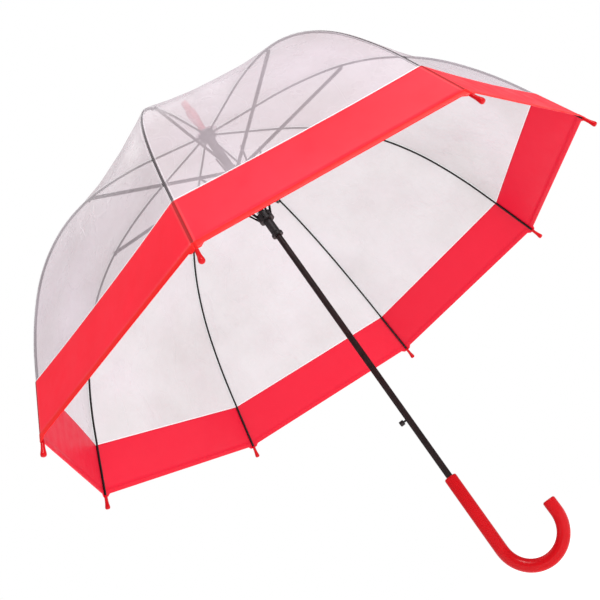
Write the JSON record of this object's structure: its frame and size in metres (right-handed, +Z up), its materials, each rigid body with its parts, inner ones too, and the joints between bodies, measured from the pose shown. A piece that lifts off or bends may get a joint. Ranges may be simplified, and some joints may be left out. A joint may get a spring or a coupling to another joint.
{
  "type": "stick umbrella",
  "caption": "Stick umbrella with a clear dome canopy, coloured border, crook handle and sprung double runner; it folds about its shaft.",
  "frame": {"origin": "on the shaft axis at the middle of the straight grip of the handle", "axes": "+Z up the shaft towards the ferrule, +X the way the crook opens, away from the release button"},
  "size_m": [0.8784, 0.8784, 0.8562],
  "materials": {
    "black_steel": "gloss",
    "red_gloss": "gloss",
    "black_plastic": "satin",
    "bright_wire": "satin",
    "rib_black": "satin",
    "clear_film": "gloss"
  },
  "bodies": {
    "frame": {"shaft": "black_steel", "handle": "red_gloss", "ferrule": "red_gloss", "top_notch": "black_plastic", "notch_wire": "bright_wire", "stop_sleeve": "black_plastic"},
    "lower_runner": {"lower_runner": "black_plastic", "link_wire": "bright_wire", "opening_spring": "bright_wire"},
    "upper_runner": {"upper_runner": "black_plastic", "hub_wire": "bright_wire"},
    "release_button": {"release_button": "black_plastic"},
    "rib_inner_1": {"rib_inner_1": "rib_black"},
    "rib_outer_1": {"rib_outer_1": "rib_black"},
    "stretcher_1": {"stretcher_1": "rib_black"},
    "link_1": {"link_1": "rib_black"},
    "crown_film_1": {"crown_film_1": "clear_film"},
    "skirt_1": {"skirt_1": "clear_film"},
    "rib_inner_2": {"rib_inner_2": "rib_black"},
    "rib_outer_2": {"rib_outer_2": "rib_black"},
    "stretcher_2": {"stretcher_2": "rib_black"},
    "link_2": {"link_2": "rib_black"},
    "crown_film_2": {"crown_film_2": "clear_film"},
    "skirt_2": {"skirt_2": "clear_film"},
    "rib_inner_3": {"rib_inner_3": "rib_black"},
    "rib_outer_3": {"rib_outer_3": "rib_black"},
    "stretcher_3": {"stretcher_3": "rib_black"},
    "link_3": {"link_3": "rib_black"},
    "crown_film_3": {"crown_film_3": "clear_film"},
    "skirt_3": {"skirt_3": "clear_film"},
    "rib_inner_4": {"rib_inner_4": "rib_black"},
    "rib_outer_4": {"rib_outer_4": "rib_black"},
    "stretcher_4": {"stretcher_4": "rib_black"},
    "link_4": {"link_4": "rib_black"},
    "crown_film_4": {"crown_film_4": "clear_film"},
    "skirt_4": {"skirt_4": "clear_film"},
    "rib_inner_5": {"rib_inner_5": "rib_black"},
    "rib_outer_5": {"rib_outer_5": "rib_black"},
    "stretcher_5": {"stretcher_5": "rib_black"},
    "link_5": {"link_5": "rib_black"},
    "crown_film_5": {"crown_film_5": "clear_film"},
    "skirt_5": {"skirt_5": "clear_film"},
    "rib_inner_6": {"rib_inner_6": "rib_black"},
    "rib_outer_6": {"rib_outer_6": "rib_black"},
    "stretcher_6": {"stretcher_6": "rib_black"},
    "link_6": {"link_6": "rib_black"},
    "crown_film_6": {"crown_film_6": "clear_film"},
    "skirt_6": {"skirt_6": "clear_film"},
    "rib_inner_7": {"rib_inner_7": "rib_black"},
    "rib_outer_7": {"rib_outer_7": "rib_black"},
    "stretcher_7": {"stretcher_7": "rib_black"},
    "link_7": {"link_7": "rib_black"},
    "crown_film_7": {"crown_film_7": "clear_film"},
    "skirt_7": {"skirt_7": "clear_film"},
    "rib_inner_8": {"rib_inner_8": "rib_black"},
    "rib_outer_8": {"rib_outer_8": "rib_black"},
    "stretcher_8": {"stretcher_8": "rib_black"},
    "link_8": {"link_8": "rib_black"},
    "crown_film_8": {"crown_film_8": "clear_film"},
    "skirt_8": {"skirt_8": "clear_film"}
  },
  "joints": [
    {"name": "runner_slide", "type": "slide", "parent": "frame", "child": "lower_runner", "axis": [0, 0, -1], "range_m": [0, 0.319], "stiffness_N_per_m": 30, "springref_m": -0.3},
    {"name": "hub_slide", "type": "slide", "parent": "frame", "child": "upper_runner", "axis": [0, 0, -1], "range_m": [0, 0.34949], "deforming": ["opening_spring"]},
    {"name": "button_slide", "type": "slide", "parent": "frame", "child": "release_button", "axis": [1, 0, 0], "range_m": [0, 0.0025], "stiffness_N_per_m": 300, "springref_m": -0.003},
    {"name": "rib_fold_1", "type": "hinge", "parent": "frame", "child": "rib_inner_1", "pos_m": [0.009, 0, 0.675], "axis": [0, 1, 0], "range_deg": [0, 65.39]},
    {"name": "rib_flex_1", "type": "hinge", "parent": "rib_inner_1", "child": "rib_outer_1", "pos_m": [0.28818, 0, 0.57762], "axis": [0, 1, 0], "range_deg": [-40.11, 0]},
    {"name": "stretcher_fold_1", "type": "hinge", "parent": "upper_runner", "child": "stretcher_1", "pos_m": [0.009, 0, 0.599], "axis": [0, 1, 0], "range_deg": [-73.57, 0]},
    {"name": "link_fold_1", "type": "hinge", "parent": "lower_runner", "child": "link_1", "pos_m": [0.01, 0, 0.51], "axis": [0, 1, 0], "range_deg": [-21.06, 0]},
    {"name": "crown_fold_1", "type": "hinge", "parent": "frame", "child": "crown_film_1", "pos_m": [-0.00013, -0.00006, 0.66855], "axis": [-0.3827, 0.9239, 0], "range_deg": [0, 64.21], "deforming": ["crown_film_1"]},
    {"name": "skirt_fold_1", "type": "hinge", "parent": "crown_film_1", "child": "skirt_1", "pos_m": [0.24727, 0.10242, 0.57934], "axis": [-0.3827, 0.9239, 0], "range_deg": [-40.53, 0], "deforming": ["skirt_1"]},
    {"name": "rib_fold_2", "type": "hinge", "parent": "frame", "child": "rib_inner_2", "pos_m": [0.00636, 0.00636, 0.675], "axis": [-0.7071, 0.7071, 0], "range_deg": [0, 65.39]},
    {"name": "rib_flex_2", "type": "hinge", "parent": "rib_inner_2", "child": "rib_outer_2", "pos_m": [0.20377, 0.20377, 0.57762], "axis": [-0.7071, 0.7071, 0], "range_deg": [-40.11, 0]},
    {"name": "stretcher_fold_2", "type": "hinge", "parent": "upper_runner", "child": "stretcher_2", "pos_m": [0.00636, 0.00636, 0.599], "axis": [-0.7071, 0.7071, 0], "range_deg": [-73.57, 0]},
    {"name": "link_fold_2", "type": "hinge", "parent": "lower_runner", "child": "link_2", "pos_m": [0.00707, 0.00707, 0.51], "axis": [-0.7071, 0.7071, 0], "range_deg": [-21.06, 0]},
    {"name": "crown_fold_2", "type": "hinge", "parent": "frame", "child": "crown_film_2", "pos_m": [-0.00006, -0.00013, 0.66855], "axis": [-0.9239, 0.3827, 0], "range_deg": [0, 64.21], "deforming": ["crown_film_2"]},
    {"name": "skirt_fold_2", "type": "hinge", "parent": "crown_film_2", "child": "skirt_2", "pos_m": [0.10242, 0.24727, 0.57934], "axis": [-0.9239, 0.3827, 0], "range_deg": [-40.53, 0], "deforming": ["skirt_2"]},
    {"name": "rib_fold_3", "type": "hinge", "parent": "frame", "child": "rib_inner_3", "pos_m": [0, 0.009, 0.675], "axis": [-1, 0, 0], "range_deg": [0, 65.39]},
    {"name": "rib_flex_3", "type": "hinge", "parent": "rib_inner_3", "child": "rib_outer_3", "pos_m": [0, 0.28818, 0.57762], "axis": [-1, 0, 0], "range_deg": [-40.11, 0]},
    {"name": "stretcher_fold_3", "type": "hinge", "parent": "upper_runner", "child": "stretcher_3", "pos_m": [0, 0.009, 0.599], "axis": [-1, 0, 0], "range_deg": [-73.57, 0]},
    {"name": "link_fold_3", "type": "hinge", "parent": "lower_runner", "child": "link_3", "pos_m": [0, 0.01, 0.51], "axis": [-1, 0, 0], "range_deg": [-21.06, 0]},
    {"name": "crown_fold_3", "type": "hinge", "parent": "frame", "child": "crown_film_3", "pos_m": [0.00006, -0.00013, 0.66855], "axis": [-0.9239, -0.3827, 0], "range_deg": [0, 64.21], "deforming": ["crown_film_3"]},
    {"name": "skirt_fold_3", "type": "hinge", "parent": "crown_film_3", "child": "skirt_3", "pos_m": [-0.10242, 0.24727, 0.57934], "axis": [-0.9239, -0.3827, 0], "range_deg": [-40.53, 0], "deforming": ["skirt_3"]},
    {"name": "rib_fold_4", "type": "hinge", "parent": "frame", "child": "rib_inner_4", "pos_m": [-0.00636, 0.00636, 0.675], "axis": [-0.7071, -0.7071, 0], "range_deg": [0, 65.39]},
    {"name": "rib_flex_4", "type": "hinge", "parent": "rib_inner_4", "child": "rib_outer_4", "pos_m": [-0.20377, 0.20377, 0.57762], "axis": [-0.7071, -0.7071, 0], "range_deg": [-40.11, 0]},
    {"name": "stretcher_fold_4", "type": "hinge", "parent": "upper_runner", "child": "stretcher_4", "pos_m": [-0.00636, 0.00636, 0.599], "axis": [-0.7071, -0.7071, 0], "range_deg": [-73.57, 0]},
    {"name": "link_fold_4", "type": "hinge", "parent": "lower_runner", "child": "link_4", "pos_m": [-0.00707, 0.00707, 0.51], "axis": [-0.7071, -0.7071, 0], "range_deg": [-21.06, 0]},
    {"name": "crown_fold_4", "type": "hinge", "parent": "frame", "child": "crown_film_4", "pos_m": [0.00013, -0.00006, 0.66855], "axis": [-0.3827, -0.9239, 0], "range_deg": [0, 64.21], "deforming": ["crown_film_4"]},
    {"name": "skirt_fold_4", "type": "hinge", "parent": "crown_film_4", "child": "skirt_4", "pos_m": [-0.24727, 0.10242, 0.57934], "axis": [-0.3827, -0.9239, 0], "range_deg": [-40.53, 0], "deforming": ["skirt_4"]},
    {"name": "rib_fold_5", "type": "hinge", "parent": "frame", "child": "rib_inner_5", "pos_m": [-0.009, 0, 0.675], "axis": [0, -1, 0], "range_deg": [0, 65.39]},
    {"name": "rib_flex_5", "type": "hinge", "parent": "rib_inner_5", "child": "rib_outer_5", "pos_m": [-0.28818, 0, 0.57762], "axis": [0, -1, 0], "range_deg": [-40.11, 0]},
    {"name": "stretcher_fold_5", "type": "hinge", "parent": "upper_runner", "child": "stretcher_5", "pos_m": [-0.009, 0, 0.599], "axis": [0, -1, 0], "range_deg": [-73.57, 0]},
    {"name": "link_fold_5", "type": "hinge", "parent": "lower_runner", "child": "link_5", "pos_m": [-0.01, 0, 0.51], "axis": [0, -1, 0], "range_deg": [-21.06, 0]},
    {"name": "crown_fold_5", "type": "hinge", "parent": "frame", "child": "crown_film_5", "pos_m": [0.00013, 0.00006, 0.66855], "axis": [0.3827, -0.9239, 0], "range_deg": [0, 64.21], "deforming": ["crown_film_5"]},
    {"name": "skirt_fold_5", "type": "hinge", "parent": "crown_film_5", "child": "skirt_5", "pos_m": [-0.24727, -0.10242, 0.57934], "axis": [0.3827, -0.9239, 0], "range_deg": [-40.53, 0], "deforming": ["skirt_5"]},
    {"name": "rib_fold_6", "type": "hinge", "parent": "frame", "child": "rib_inner_6", "pos_m": [-0.00636, -0.00636, 0.675], "axis": [0.7071, -0.7071, 0], "range_deg": [0, 65.39]},
    {"name": "rib_flex_6", "type": "hinge", "parent": "rib_inner_6", "child": "rib_outer_6", "pos_m": [-0.20377, -0.20377, 0.57762], "axis": [0.7071, -0.7071, 0], "range_deg": [-40.11, 0]},
    {"name": "stretcher_fold_6", "type": "hinge", "parent": "upper_runner", "child": "stretcher_6", "pos_m": [-0.00636, -0.00636, 0.599], "axis": [0.7071, -0.7071, 0], "range_deg": [-73.57, 0]},
    {"name": "link_fold_6", "type": "hinge", "parent": "lower_runner", "child": "link_6", "pos_m": [-0.00707, -0.00707, 0.51], "axis": [0.7071, -0.7071, 0], "range_deg": [-21.06, 0]},
    {"name": "crown_fold_6", "type": "hinge", "parent": "frame", "child": "crown_film_6", "pos_m": [0.00006, 0.00013, 0.66855], "axis": [0.9239, -0.3827, 0], "range_deg": [0, 64.21], "deforming": ["crown_film_6"]},
    {"name": "skirt_fold_6", "type": "hinge", "parent": "crown_film_6", "child": "skirt_6", "pos_m": [-0.10242, -0.24727, 0.57934], "axis": [0.9239, -0.3827, 0], "range_deg": [-40.53, 0], "deforming": ["skirt_6"]},
    {"name": "rib_fold_7", "type": "hinge", "parent": "frame", "child": "rib_inner_7", "pos_m": [0, -0.009, 0.675], "axis": [1, 0, 0], "range_deg": [0, 65.39]},
    {"name": "rib_flex_7", "type": "hinge", "parent": "rib_inner_7", "child": "rib_outer_7", "pos_m": [0, -0.28818, 0.57762], "axis": [1, 0, 0], "range_deg": [-40.11, 0]},
    {"name": "stretcher_fold_7", "type": "hinge", "parent": "upper_runner", "child": "stretcher_7", "pos_m": [0, -0.009, 0.599], "axis": [1, 0, 0], "range_deg": [-73.57, 0]},
    {"name": "link_fold_7", "type": "hinge", "parent": "lower_runner", "child": "link_7", "pos_m": [0, -0.01, 0.51], "axis": [1, 0, 0], "range_deg": [-21.06, 0]},
    {"name": "crown_fold_7", "type": "hinge", "parent": "frame", "child": "crown_film_7", "pos_m": [-0.00006, 0.00013, 0.66855], "axis": [0.9239, 0.3827, 0], "range_deg": [0, 64.21], "deforming": ["crown_film_7"]},
    {"name": "skirt_fold_7", "type": "hinge", "parent": "crown_film_7", "child": "skirt_7", "pos_m": [0.10242, -0.24727, 0.57934], "axis": [0.9239, 0.3827, 0], "range_deg": [-40.53, 0], "deforming": ["skirt_7"]},
    {"name": "rib_fold_8", "type": "hinge", "parent": "frame", "child": "rib_inner_8", "pos_m": [0.00636, -0.00636, 0.675], "axis": [0.7071, 0.7071, 0], "range_deg": [0, 65.39]},
    {"name": "rib_flex_8", "type": "hinge", "parent": "rib_inner_8", "child": "rib_outer_8", "pos_m": [0.20377, -0.20377, 0.57762], "axis": [0.7071, 0.7071, 0], "range_deg": [-40.11, 0]},
    {"name": "stretcher_fold_8", "type": "hinge", "parent": "upper_runner", "child": "stretcher_8", "pos_m": [0.00636, -0.00636, 0.599], "axis": [0.7071, 0.7071, 0], "range_deg": [-73.57, 0]},
    {"name": "link_fold_8", "type": "hinge", "parent": "lower_runner", "child": "link_8", "pos_m": [0.00707, -0.00707, 0.51], "axis": [0.7071, 0.7071, 0], "range_deg": [-21.06, 0]},
    {"name": "crown_fold_8", "type": "hinge", "parent": "frame", "child": "crown_film_8", "pos_m": [-0.00013, 0.00006, 0.66855], "axis": [0.3827, 0.9239, 0], "range_deg": [0, 64.21], "deforming": ["crown_film_8"]},
    {"name": "skirt_fold_8", "type": "hinge", "parent": "crown_film_8", "child": "skirt_8", "pos_m": [0.24727, -0.10242, 0.57934], "axis": [0.3827, 0.9239, 0], "range_deg": [-40.53, 0], "deforming": ["skirt_8"]}
  ],
  "couplings": [
    {"joint": "hub_slide", "follows": "runner_slide", "ratio": 1.095},
    {"joint": "rib_fold_1", "follows": "runner_slide", "rad_per_m": 3.5747},
    {"joint": "rib_flex_1", "follows": "runner_slide", "rad_per_m": -2.1915},
    {"joint": "stretcher_fold_1", "follows": "runner_slide", "rad_per_m": -4.0224},
    {"joint": "link_fold_1", "follows": "runner_slide", "rad_per_m": -1.1497},
    {"joint": "crown_fold_1", "follows": "runner_slide", "rad_per_m": 3.5101},
    {"joint": "skirt_fold_1", "follows": "runner_slide", "rad_per_m": -2.2148},
    {"joint": "rib_fold_2", "follows": "runner_slide", "rad_per_m": 3.5747},
    {"joint": "rib_flex_2", "follows": "runner_slide", "rad_per_m": -2.1915},
    {"joint": "stretcher_fold_2", "follows": "runner_slide", "rad_per_m": -4.0224},
    {"joint": "link_fold_2", "follows": "runner_slide", "rad_per_m": -1.1497},
    {"joint": "crown_fold_2", "follows": "runner_slide", "rad_per_m": 3.5101},
    {"joint": "skirt_fold_2", "follows": "runner_slide", "rad_per_m": -2.2148},
    {"joint": "rib_fold_3", "follows": "runner_slide", "rad_per_m": 3.5747},
    {"joint": "rib_flex_3", "follows": "runner_slide", "rad_per_m": -2.1915},
    {"joint": "stretcher_fold_3", "follows": "runner_slide", "rad_per_m": -4.0224},
    {"joint": "link_fold_3", "follows": "runner_slide", "rad_per_m": -1.1497},
    {"joint": "crown_fold_3", "follows": "runner_slide", "rad_per_m": 3.5101},
    {"joint": "skirt_fold_3", "follows": "runner_slide", "rad_per_m": -2.2148},
    {"joint": "rib_fold_4", "follows": "runner_slide", "rad_per_m": 3.5747},
    {"joint": "rib_flex_4", "follows": "runner_slide", "rad_per_m": -2.1915},
    {"joint": "stretcher_fold_4", "follows": "runner_slide", "rad_per_m": -4.0224},
    {"joint": "link_fold_4", "follows": "runner_slide", "rad_per_m": -1.1497},
    {"joint": "crown_fold_4", "follows": "runner_slide", "rad_per_m": 3.5101},
    {"joint": "skirt_fold_4", "follows": "runner_slide", "rad_per_m": -2.2148},
    {"joint": "rib_fold_5", "follows": "runner_slide", "rad_per_m": 3.5747},
    {"joint": "rib_flex_5", "follows": "runner_slide", "rad_per_m": -2.1915},
    {"joint": "stretcher_fold_5", "follows": "runner_slide", "rad_per_m": -4.0224},
    {"joint": "link_fold_5", "follows": "runner_slide", "rad_per_m": -1.1497},
    {"joint": "crown_fold_5", "follows": "runner_slide", "rad_per_m": 3.5101},
    {"joint": "skirt_fold_5", "follows": "runner_slide", "rad_per_m": -2.2148},
    {"joint": "rib_fold_6", "follows": "runner_slide", "rad_per_m": 3.5747},
    {"joint": "rib_flex_6", "follows": "runner_slide", "rad_per_m": -2.1915},
    {"joint": "stretcher_fold_6", "follows": "runner_slide", "rad_per_m": -4.0224},
    {"joint": "link_fold_6", "follows": "runner_slide", "rad_per_m": -1.1497},
    {"joint": "crown_fold_6", "follows": "runner_slide", "rad_per_m": 3.5101},
    {"joint": "skirt_fold_6", "follows": "runner_slide", "rad_per_m": -2.2148},
    {"joint": "rib_fold_7", "follows": "runner_slide", "rad_per_m": 3.5747},
    {"joint": "rib_flex_7", "follows": "runner_slide", "rad_per_m": -2.1915},
    {"joint": "stretcher_fold_7", "follows": "runner_slide", "rad_per_m": -4.0224},
    {"joint": "link_fold_7", "follows": "runner_slide", "rad_per_m": -1.1497},
    {"joint": "crown_fold_7", "follows": "runner_slide", "rad_per_m": 3.5101},
    {"joint": "skirt_fold_7", "follows": "runner_slide", "rad_per_m": -2.2148},
    {"joint": "rib_fold_8", "follows": "runner_slide", "rad_per_m": 3.5747},
    {"joint": "rib_flex_8", "follows": "runner_slide", "rad_per_m": -2.1915},
    {"joint": "stretcher_fold_8", "follows": "runner_slide", "rad_per_m": -4.0224},
    {"joint": "link_fold_8", "follows": "runner_slide", "rad_per_m": -1.1497},
    {"joint": "crown_fold_8", "follows": "runner_slide", "rad_per_m": 3.5101},
    {"joint": "skirt_fold_8", "follows": "runner_slide", "rad_per_m": -2.2148}
  ]
}
